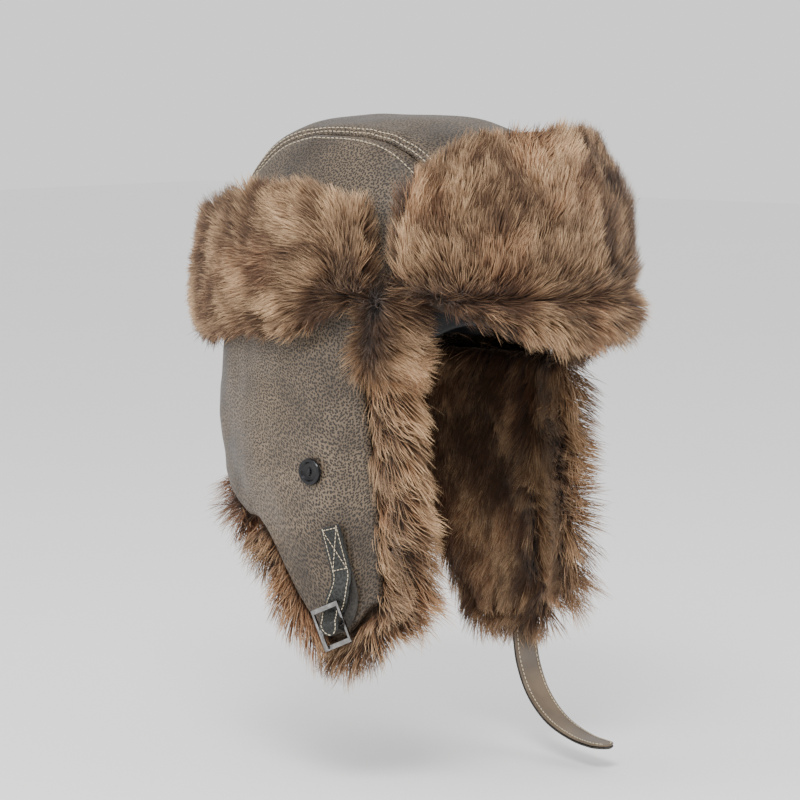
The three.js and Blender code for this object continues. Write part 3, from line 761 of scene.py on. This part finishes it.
class Ribbon:
    """A flat strap along a line: side is its width direction at each place, width its width there."""

    def __init__(self, line, side, width, thickness):
        self.line = line
        ahead = unit(np.gradient(line, axis=0))
        self.up = unit(np.cross(ahead, side))
        self.side = unit(np.cross(self.up, ahead))
        self.width = np.asarray(width)
        self.thickness = thickness

    def at(self, share, lift=0.0):
        """A line along the top face; share runs from -0.5 to 0.5 across it."""
        return self.line + self.side * (self.width * share)[:, None] + self.up * (self.thickness / 2 + lift)

    def inset(self, side, gap):
        """A line along the top face at a fixed gap from one edge, where the strap is wide enough."""
        share = side * np.maximum(0.5 - gap / np.maximum(self.width, 1e-6), 0)
        keep = self.width > 2.4 * gap
        return self.at(share)[keep], self.up[keep]

    def mesh(self, name):
        """The strap as a closed body whose edges are rounded."""
        top = [(-0.5, 0.15), (-0.46, 0.42), (-0.3, 0.5), (0.0, 0.5), (0.3, 0.5), (0.46, 0.42), (0.5, 0.15)]
        section = top + [(a, -r) for a, r in top[::-1]]
        points = np.stack(
            [
                self.line + self.side * (self.width * a)[:, None] + self.up * (self.thickness * r)
                for a, r in section
            ],
            1,
        )
        rows, spokes = points.shape[:2]
        faces = []
        for r in range(rows - 1):
            for k in range(spokes):
                a, b = r * spokes + k, r * spokes + (k + 1) % spokes
                faces.append((a, a + spokes, b + spokes, b))
        faces.append(tuple(range(spokes)))
        faces.append(tuple((rows - 1) * spokes + k for k in range(spokes))[::-1])
        obj = mesh_object(name, points.reshape(-1, 3), faces)
        run = np.linalg.norm(np.diff(self.line, axis=0, prepend=self.line[:1]), axis=1).cumsum()
        share = np.array([a for a, _ in section])
        return set_grain(obj, (self.width[:, None] * share).ravel(), np.repeat(run, spokes))


def punch(obj, centre, direction, radius):
    """Cuts a round hole through a strap."""
    turn = np.arange(16) * math.pi / 8
    side = unit(np.cross(direction, UP))
    up = np.cross(side, direction)
    ring = radius * (np.cos(turn)[:, None] * side + np.sin(turn)[:, None] * up)
    ends = [centre + ring - direction * 0.02, centre + ring + direction * 0.02]
    faces = [(k, (k + 1) % 16, 16 + (k + 1) % 16, 16 + k) for k in range(16)]
    faces += [tuple(range(16))[::-1], tuple(range(16, 32))]
    tool = mesh_object("punch_tool", np.concatenate(ends), faces, False)
    cut = obj.modifiers.new("Hole", "BOOLEAN")
    cut.operation, cut.object, cut.solver = "DIFFERENCE", tool, "EXACT"
    bpy.context.view_layer.update()
    obj.data = bpy.data.meshes.new_from_object(obj.evaluated_get(bpy.context.evaluated_depsgraph_get()))
    obj.modifiers.clear()
    bpy.data.objects.remove(tool)


def rounded_tip(count, length, width, tip):
    """A strap's width along it: even, then rounded off over its last few millimetres."""
    left = np.maximum((1 - np.linspace(0, 1, count)) * length, 0.03 * tip)
    return np.where(left < tip, width * np.sqrt(np.clip(1 - (1 - left / tip) ** 2, 0, 1)), width)


def strap_patch():
    """Where the buckle strap is sewn on: its origin, and the directions to the front, up and out."""
    a = math.radians(STRAP_ANGLE)
    out = unit(np.array([-HALF_LENGTH * math.sin(a), -HALF_WIDTH * math.cos(a), 0]))
    return around(STRAP_ANGLE, 0.002, -STRAP_DROP), np.array([np.cross(UP, out), UP, out])


def buckle_points(*rows):
    """Points given in the buckle's own frame, in millimetres, turned into the strap's patch."""
    cos, sin = math.cos(BUCKLE_TILT), math.sin(BUCKLE_TILT)
    turn = np.array([[cos, sin, 0], [-sin, cos, 0], [0, 0, 1]])
    return np.asarray(rows, float) @ turn + np.array(BUCKLE_CENTRE)


# ---------------------------------------------------------------- combing


def along_oval(points):
    """The direction round the hat's oval at each point, anticlockwise as seen from above."""
    return unit(np.cross(UP, outward(points)))


def forwards(points):
    """The direction round the oval towards the brow, on either side of the hat."""
    return along_oval(points) * -np.sign(points[:, :1])


def visor_crease(points):
    """Height of the crease above the visor's lower lip, which rises towards the visor's ends."""
    return 0.034 + 0.00001 * angle_of(points) ** 1.5


def visor_flow(points, normals):
    """Up the front above the crease, down and outwards on the lip below it."""
    along = along_oval(points)
    above = smooth(points[:, 2] - visor_crease(points), -0.006, 0.008)[:, None]
    up = UP + along * 0.35 * sway(points, 0.05, 70)[:, :1]
    down = outward(points) * 0.2 + along * 0.45 - UP
    return up * above + down * (1 - above)


def cuff_crease(points):
    """Height of the crease above the cuff's lower lip, which drops towards the back."""
    return 0.036 - 0.026 * smooth(angle_of(points), 66, 120)


def cuff_flow(points, normals):
    """Backwards round the head from a whorl near the front end, with a lip combed down and back."""
    angle = angle_of(points)
    back = -forwards(points) * np.where(np.abs(points[:, :1]) < 0.03, 0.3, 1.0)
    whorl = smooth(angle, 64, 84)[:, None] * 1.4 - 0.4
    rise = (points[:, 2:] - 0.060) / 0.03
    least = 0.75 - 0.95 * smooth(angle, 72, 92)[:, None]
    above = smooth(points[:, 2] - cuff_crease(points), -0.005, 0.008)[:, None]
    field = back * whorl + 0.9 * UP * np.maximum(np.minimum(rise, 1.1), least)
    lip = back * 0.55 - UP
    return field * above + lip * (1 - above)


def front_edge(points):
    """1 at the front edge of an ear flap's fur, fading to 0 behind it."""
    return 1 - smooth(angle_of(points), 60, 70)


def flap_shape(points, normals):
    """The border in front of an ear flap's leather puffs forwards and out."""
    front = (1 - smooth(angle_of(points), 58, 64)) * smooth(points[:, 2], -0.215, -0.150)
    return (forwards(points) * 0.0085 + outward(points) * 0.0035) * front[:, None]


def flap_flow(points, normals):
    """Down the inside of the flap, out over its lower edge and forwards over its front one."""
    front = front_edge(points)[:, None]
    facing = (normals * outward(points)).sum(1)[:, None]
    out = outward(points) * 0.2 * (facing > -0.4)
    return forwards(points) * 1.1 * front - UP * (1 - 0.35 * front) + out


def flap_length(pile):
    """Short pile on the inner face, long at the edges."""

    def length(points, normals):
        facing = (normals * outward(points)).sum(1)
        return pile + 0.0085 * smooth(facing, -0.75, -0.1) + 0.004 * front_edge(points)

    return length


def flap_tone(points, normals):
    """Dark on the inner face, a painted shade, paler at the edges and palest at the front one."""
    facing = (normals * outward(points)).sum(1)
    edge = np.maximum(smooth(facing, -0.85, -0.2), front_edge(points))
    # The -0.45 on the inner face, which faces into the hat, is painted shade.
    return -0.45 + 0.75 * edge + 0.25 * front_edge(points)


def lip_tone(crease, pale, dark):
    """A dark line along a crease, a painted shade in its groove, and paler hair on the lip below it."""

    def tone(points, normals):
        off = points[:, 2] - crease(points)
        # The subtracted dark term paints shade along the sunken crease.
        return pale * (1 - smooth(off, -0.012, -0.003)) - dark * np.exp(-((off / 0.005) ** 2))

    return tone


def temple_flow(points, normals):
    """Forwards over the brow and down."""
    return forwards(points) - 0.5 * UP + outward(points) * 0.3


def temple_shape(points, normals):
    """The fur at the temple carries the flap's border up under the visor."""
    return forwards(points) * 0.003 + 0.004 * UP * smooth(points[:, 2:], 0.01, 0.034)


def visor_shape(points, normals):
    """The lip below the crease bulges out and hangs; the top leans in."""
    off = points[:, 2] - visor_crease(points)
    facing = np.clip((normals * outward(points)).sum(1), 0, 1)
    bulge = 0.0045 * np.exp(-(((off + 0.013) / 0.011) ** 2)) - 0.0055 * np.exp(-((off / 0.006) ** 2))
    hang = -0.008 * (1 - smooth(off, -0.025, -0.002)) * (1 - smooth(angle_of(points), 10, 50))
    lean = -0.012 * smooth(points[:, 2], 0.080, 0.135)
    move = outward(points) * ((bulge * facing) + lean)[:, None]
    move[:, 2] += hang
    return move


def cuff_shape(points, normals):
    """The lip below the crease hangs below the cuff, lower towards the back."""
    off = points[:, 2] - cuff_crease(points)
    facing = np.clip((normals * outward(points)).sum(1), 0, 1)
    bulge = -0.0045 * np.exp(-((off / 0.006) ** 2)) + 0.002 * np.exp(-(((off - 0.03) / 0.02) ** 2))
    angle = angle_of(points)
    drop = 0.008 * smooth(angle, 64, 88) + 0.014 * smooth(angle, 88, 140)
    hang = -drop * (1 - smooth(off, -0.022, 0.002))
    move = outward(points) * (bulge * facing)[:, None]
    move[:, 2] += hang
    return move


def outside_only(points, normals):
    """Few strands where the pile lies against the hat."""
    return np.clip((normals * outward(points)).sum(1) + 0.75, 0.06, 1)


def one_side(side):
    """The cuff's pile on one side of the hat, where it doesn't lie against the hat."""
    return lambda points, normals: outside_only(points, normals) * (points[:, 0] * side >= 0)


def inside_only(points, normals):
    """No strands where a flap's fabric lies under its leather."""
    facing = (normals * outward(points)).sum(1)
    angle = angle_of(points)
    ear = ear_bottom(angle, LEFT_HANG * (points[:, 0] > 0))
    edge = np.where(angle < angle_at(SPLIT_Y), ear, neck_bottom(angle))
    under = (angle > 65) & (points[:, 2] > edge - 0.002) & (facing > -0.35)
    return np.clip(0.75 - facing, 0.25, 1) * ~under


# ---------------------------------------------------------------- operators


class HatSettings(bpy.types.PropertyGroup):
    """Sizes that the pieces are made to."""

    visor_pile: bpy.props.FloatProperty(
        name="Visor pile", description="Length of the fur on the visor", default=0.017, unit="LENGTH"
    )
    cuff_pile: bpy.props.FloatProperty(
        name="Cuff pile", description="Length of the fur on the rear cuff", default=0.017, unit="LENGTH"
    )
    flap_pile: bpy.props.FloatProperty(
        name="Flap pile", description="Length of the fur inside the flaps", default=0.015, unit="LENGTH"
    )
    strands: bpy.props.IntProperty(
        name="Strands", description="Strands of fur in one large piece", default=38000
    )


class HatOperator:
    """What all the hat's operators share."""

    bl_options = {"REGISTER", "UNDO"}

    def execute(self, context):
        self.build(context.scene.trapper_hat)
        return {"FINISHED"}


class TRAPPER_OT_crown(HatOperator, bpy.types.Operator):
    """Builds the crown's three leather panels, their twin stitching, the lining and the sweatband"""

    bl_idname = "trapper.crown"
    bl_label = "Crown"

    def build(self, settings):
        centre = np.linspace(-SEAM_X + 0.0002, SEAM_X - 0.0002, 60)
        spread = SEAM_X + 0.0002 + (HALF_WIDTH - 0.00005 - SEAM_X) * np.linspace(0, 1, 30) ** 1.35
        for word, xs, hidden in (
            ("centre", centre, ["crown_wadding"]),
            ("right", -spread[::-1], []),
            ("left", spread, []),
        ):
            panel = dress(crown_panel(f"crown_leather_{word}", xs), "Hat leather")
            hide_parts(f"crown_panel_{word}", *hidden)
            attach(panel, "crown")
        lines = []
        for side in (-1, 1):
            for off in (-0.0021, -0.0046, 0.0058):
                turn = np.linspace(0.12, math.pi - 0.12, 400)[:, None]
                xs = side * (SEAM_X + off) + np.array([[-0.001, 0.0, 0.001]])
                surface = crown_surface(xs, turn)
                lines.append((surface[:, 1], crown_normals(surface)[:, 1]))
        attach(stitches("crown_stitches", lines), "crown")
        for node, finish in (("crown_lining", "Black satin"), ("sweatband", "Sweatband satin")):
            dress(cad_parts[node], finish)
        angles = np.linspace(-61, 61, 120)[None, :]
        foot = BROW_RISE * (1 - smooth(np.abs(angles), BROW_ANGLE, TEMPLE_ANGLE)) - 0.0012
        height = foot + (0.046 - foot) * np.linspace(0, 1, 14)[:, None]
        ruck = 0.0010 * noise(around(angles, 0, height), 0.012, 60)
        facing = shell_object(
            "brow_facing", around(angles, 0.0008 + ruck, height), around(angles, 0.0002, height)
        )
        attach(dress(facing, "Black satin"), "crown")


def hang_on(skin):
    """Reads the places on the flat hide stored on a flap's leather into an array that nothing uses."""
    spots = np.empty(len(skin.data.vertices) * 3, np.float32)
    skin.data.attributes["Grain"].data.foreach_get("vector", spots)


class TRAPPER_OT_skins(HatOperator, bpy.types.Operator):
    """Builds the leather of the ear flaps and of the neck flap"""

    bl_idname = "trapper.skins"
    bl_label = "Flap leather"

    def build(self, settings):
        for side, word in ((-1, "right"), (1, "left")):
            skin = dress(ear_skin(f"{word}_ear_skin", side), "Hat leather")
            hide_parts(f"{word}_ear_leather")
            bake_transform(skin)
            hang_on(skin)
        neck = dress(neck_skin("neck_skin"), "Hat leather")
        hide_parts("neck_leather")
        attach(neck, "crown")
        hang_on(neck)


class TRAPPER_OT_fur(HatOperator, bpy.types.Operator):
    """Grows the fur of the visor, the cuff, the flaps and the temples on its fabric"""

    bl_idname = "trapper.fur"
    bl_label = "Fur"

    def build(self, settings):
        count = settings.strands
        visor = pad("visor_pad", ["visor_fur"], 0.0070, rounds=22, shape=visor_shape)
        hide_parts("visor_fur", "visor_wadding")
        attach(visor, "front_visor")
        # 0.2 pales the visor's lip; 0.7 is the strength of the painted shade along its crease.
        tone = lip_tone(visor_crease, 0.2, 0.7)
        pile = fur("visor_pile", visor, count, settings.visor_pile, visor_flow, 11, outside_only, tone)
        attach(pile, "front_visor")

        cuff = pad("cuff_pad", ["cuff_fur"], 0.0052, rounds=18, shape=cuff_shape)
        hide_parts("cuff_fur")
        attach(cuff, "crown")
        # 0.35 pales the cuff's lip; 0.7 is the strength of the painted shade along its crease.
        tone = lip_tone(cuff_crease, 0.35, 0.7)
        for side, word in ((-1, "right"), (1, "left")):
            where = one_side(side)
            pile = fur(f"cuff_pile_{word}", cuff, count, settings.cuff_pile, cuff_flow, 21 + side, where, tone)
            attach(pile, "crown")

        length = flap_length(settings.flap_pile)
        for side, word in ((-1, "right"), (1, "left")):
            body = f"{word}_ear_flap"
            nodes = [f"{word}_ear_fur", f"{word}_ear_fur_roll"]
            lining = pad(f"{word}_ear_pad", nodes, 0.0050, 0.0025, shape=flap_shape)
            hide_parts(*nodes, f"{word}_ear_wadding")
            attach(lining, body)
            seed = 31 + side
            # flap_tone paints shade on the flap's inner face.
            pile = fur(f"{word}_ear_pile", lining, count, length, flap_flow, seed, inside_only, flap_tone)
            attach(pile, body)
            temple = pad(f"{word}_temple_pad", [f"{word}_temple_fur"], -0.002, 0.0015, shape=temple_shape)
            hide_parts(f"{word}_temple_fur")
            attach(temple, "crown")
            tuft = fur(f"{word}_temple_pile", temple, count // 6, TEMPLE_PILE, temple_flow, 51 + side)
            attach(tuft, "crown")

        neck = pad("neck_pad", ["neck_fur", "neck_fur_roll"], 0.0055, 0.0025)
        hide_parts("neck_fur", "neck_fur_roll", "neck_wadding")
        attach(neck, "crown")
        # flap_tone paints shade on the neck flap's inner face.
        pile = fur("neck_pile", neck, count, length, flap_flow, 61, inside_only, flap_tone)
        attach(pile, "crown")


class TRAPPER_OT_backings(HatOperator, bpy.types.Operator):
    """Dresses the fabric backs of the visor and of the cuff"""

    bl_idname = "trapper.backings"
    bl_label = "Backings"

    def build(self, settings):
        for node in ("visor_backing", "cuff_backing"):
            dress(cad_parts[node], "Flap backing")


class TRAPPER_OT_trims(HatOperator, bpy.types.Operator):
    """Dresses the buttons and their thread, and the buckle and its prong"""

    bl_idname = "trapper.trims"
    bl_label = "Trims"

    def build(self, settings):
        for word in ("right", "left"):
            dress(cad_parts[f"{word}_button"], "Black button")
            dress(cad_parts[f"{word}_button_thread"], "Black thread")
        for node in ("buckle_frame", "buckle_prong"):
            dress(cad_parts[node], "Nickel")


class TRAPPER_OT_buckle_strap(HatOperator, bpy.types.Operator):
    """Builds the right flap's strap: a front ply with its stitching, and a dark back ply"""

    bl_idname = "trapper.buckle_strap"
    bl_label = "Buckle strap"

    def build(self, settings):
        origin, axes = strap_patch()
        place = lambda p: origin + (np.asarray(p, float) * 0.001) @ axes
        cos, sin = math.cos(STRAP_TILT), math.sin(STRAP_TILT)
        side = (np.array([cos, sin, 0]) @ axes)[None, :]
        front = [(0, 0.6, 3.7), (4, -12.4, 3.7), (8, -24.8, 3.9), (9.3, -30, 5), (9.2, -36, 7)]
        front += [(7.4, -41.5, 6.8), (4.2, -47, 5.2)]
        over_bar = [(8.3, -2.7), (4.8, 0.6), (2, 3.7), (-1, 4.3), (-5.6, 4.2)]
        front += [*buckle_points(*((1.3, y, z) for y, z in over_bar))]
        line = spline(place(front), 120)
        length = np.linalg.norm(np.diff(line, axis=0), axis=1).sum()
        ply = Ribbon(line, side, rounded_tip(120, length, 0.0136, 0.007), 0.0014)
        back = [(0.4, -1, 1.9), (8, -24.8, 1.9), (10, -31, 1.7), (12.2, -40, 1.7), (12.6, -50, 1.9)]
        back += [(9.5, -58, 2.4)]
        round_bar = [(-4.2, -3.6), (-3, 0), (-2.4, 1.4), (-1, 2), (0.4, 1.4), (1, 0)]
        line_back = spline(place(back + [*buckle_points(*((1.3, y, z) for y, z in round_bar))]), 120)
        wide = 0.0130 - 0.0060 * smooth(np.linspace(0, 1, 120), 0.55, 0.8)
        under = Ribbon(line_back, side, wide, 0.0011)

        front_ply = dress(ply.mesh("buckle_strap_ply"), "Strap leather")
        back_ply = dress(under.mesh("buckle_strap_underside"), "Leather edge")
        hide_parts("buckle_strap_anchor", "buckle_strap_front")
        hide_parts("buckle_strap_back")
        lines = [ply.inset(-1, 0.0018), ply.inset(1, 0.0018)]
        high_left, high_right, low_left, low_right = (-5, -1), (5, -1), (-5, -25), (5, -25)
        run = np.linspace(0, 1, 40)[:, None]
        for ends in (
            (high_left, low_right),
            (high_right, low_left),
            (high_left, high_right),
            (low_right, low_left),
        ):
            a, b = (np.array((x * cos - y / BOX_LENGTH * 8, y * 0.985 + x * sin, 4.45)) for x, y in ends)
            points = place(a * (1 - run) + b * run)
            lines.append((points, np.broadcast_to(axes[2], points.shape)))
        seams = stitches("buckle_strap_stitches", lines, pitch=0.0025, length=0.0020, radius=0.00028)
        for piece in (front_ply, back_ply, seams):
            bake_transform(piece)


class TRAPPER_OT_chin_strap(HatOperator, bpy.types.Operator):
    """Builds the chin strap: a leather face with stitched edges over a dark back"""

    bl_idname = "trapper.chin_strap"
    bl_label = "Chin strap"

    def build(self, settings):
        origin = around(-CHIN_ANGLE, -0.006, 0.0)
        across = np.array([-math.cos(CHIN_TURN), -math.sin(CHIN_TURN), 0])[None, :]
        curl = np.array([-math.sin(CHIN_TURN), math.cos(CHIN_TURN), 0])
        points = [(0, -177), (0, -191), (4, -207.8), (16, -225.7), (36.8, -239.2), (64.4, -245.9), (92, -247)]
        line = spline([origin + (curl * y + UP * z) * 0.001 for y, z in points], 150)
        length = np.linalg.norm(np.diff(line, axis=0), axis=1).sum()
        width = rounded_tip(150, length, CHIN_WIDTH, 0.009)
        middle = Ribbon(line, across, width, CHIN_PLY)
        face = Ribbon(middle.at(0, 0.0002), across, width, CHIN_PLY)
        back = Ribbon(middle.at(0, -0.0015), across, width, CHIN_PLY)
        front_ply = dress(face.mesh("chin_strap_leather"), "Hat leather")
        back_ply = dress(back.mesh("chin_strap_lining"), "Leather edge")
        for ply in (front_ply, back_ply):
            for drop in (0.012, 0.024):
                punch(ply, line[np.abs(line[:, 2] - CHIN_HINGE + drop).argmin()], curl, 0.0015)
        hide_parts("chin_strap_face", "chin_strap_root")
        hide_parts("chin_strap_back")
        edges = [face.inset(side, 0.002) for side in (-1, 1)]
        seams = stitches("chin_strap_stitches", edges, pitch=0.0028, length=0.0021)
        for piece in (front_ply, back_ply, seams):
            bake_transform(piece)


class TRAPPER_OT_stage(HatOperator, bpy.types.Operator):
    """Sets a pale floor, soft studio lights and the camera"""

    bl_idname = "trapper.stage"
    bl_label = "Stage"

    def build(self, settings):
        corners = [(x, y, FLOOR_HEIGHT) for x, y in ((-6, -6), (6, -6), (6, 6), (-6, 6))]
        floor = mesh_object("floor", corners, [(0, 1, 2, 3)])
        paint = Finish("Pale floor", Roughness=0.9)
        paint.colour(paint.mix(paint.noise(2.0, 2), rgb(0.90, 0.90, 0.90), rgb(0.94, 0.94, 0.94)))
        floor.data.materials.append(paint.material)

        world = bpy.data.worlds.new("Studio")
        world.use_nodes = True
        world.node_tree.nodes["Background"].inputs["Color"].default_value = rgb(1, 1, 1)
        world.node_tree.nodes["Background"].inputs["Strength"].default_value = 1.15
        bpy.context.scene.world = world

        target = Vector((-0.002, 0.0023, -0.0343))
        for name, offset, size, power in (
            ("key", (-1.3, -0.9, 1.5), 0.8, 42),
            ("fill", (0.6, -1.9, 0.5), 1.2, 16),
            ("rim", (-1.6, 0.9, 0.9), 0.8, 12),
        ):
            light = bpy.data.lights.new(name, "AREA")
            light.size = size
            light.energy = power
            lamp = bpy.data.objects.new(name, light)
            lamp.location = target + Vector(offset)
            lamp.rotation_euler = (-Vector(offset)).to_track_quat("-Z", "Y").to_euler()
            bpy.context.scene.collection.objects.link(lamp)

        level = math.cos(CAMERA_ELEVATION)
        east, north = math.sin(CAMERA_AZIMUTH) * level, math.cos(CAMERA_AZIMUTH) * level
        ahead = Vector((east, north, -math.sin(CAMERA_ELEVATION)))
        lens = bpy.data.cameras.new("Camera")
        lens.sensor_width = 36
        lens.lens = 36 * CAMERA_DISTANCE / PICTURE_WIDTH
        camera = bpy.data.objects.new("Camera", lens)
        camera.location = target - ahead * CAMERA_DISTANCE
        camera.rotation_euler = ahead.to_track_quat("-Z", "Y").to_euler()
        bpy.context.scene.collection.objects.link(camera)
        bpy.context.scene.camera = camera


STEPS = (
    TRAPPER_OT_crown,
    TRAPPER_OT_skins,
    TRAPPER_OT_backings,
    TRAPPER_OT_fur,
    TRAPPER_OT_trims,
    TRAPPER_OT_buckle_strap,
    TRAPPER_OT_chin_strap,
    TRAPPER_OT_stage,
)


class TRAPPER_PT_panel(bpy.types.Panel):
    """Lists the steps that build the hat"""

    bl_label = "Trapper Hat"
    bl_idname = "TRAPPER_PT_panel"
    bl_space_type = "VIEW_3D"
    bl_region_type = "UI"
    bl_category = "Trapper Hat"

    def draw(self, context):
        settings = context.scene.trapper_hat
        for name in HatSettings.__annotations__:
            self.layout.prop(settings, name)
        for step in STEPS:
            self.layout.operator(step.bl_idname)


CLASSES = (HatSettings, *STEPS, TRAPPER_PT_panel)


def register():
    for cls in CLASSES:
        bpy.utils.register_class(cls)
    bpy.types.Scene.trapper_hat = bpy.props.PointerProperty(type=HatSettings)


def unregister():
    del bpy.types.Scene.trapper_hat
    for cls in reversed(CLASSES):
        bpy.utils.unregister_class(cls)


def main():
    register()
    for step in STEPS:
        group, name = step.bl_idname.split(".")
        getattr(getattr(bpy.ops, group), name)()


if __name__ == "__main__":
    main()
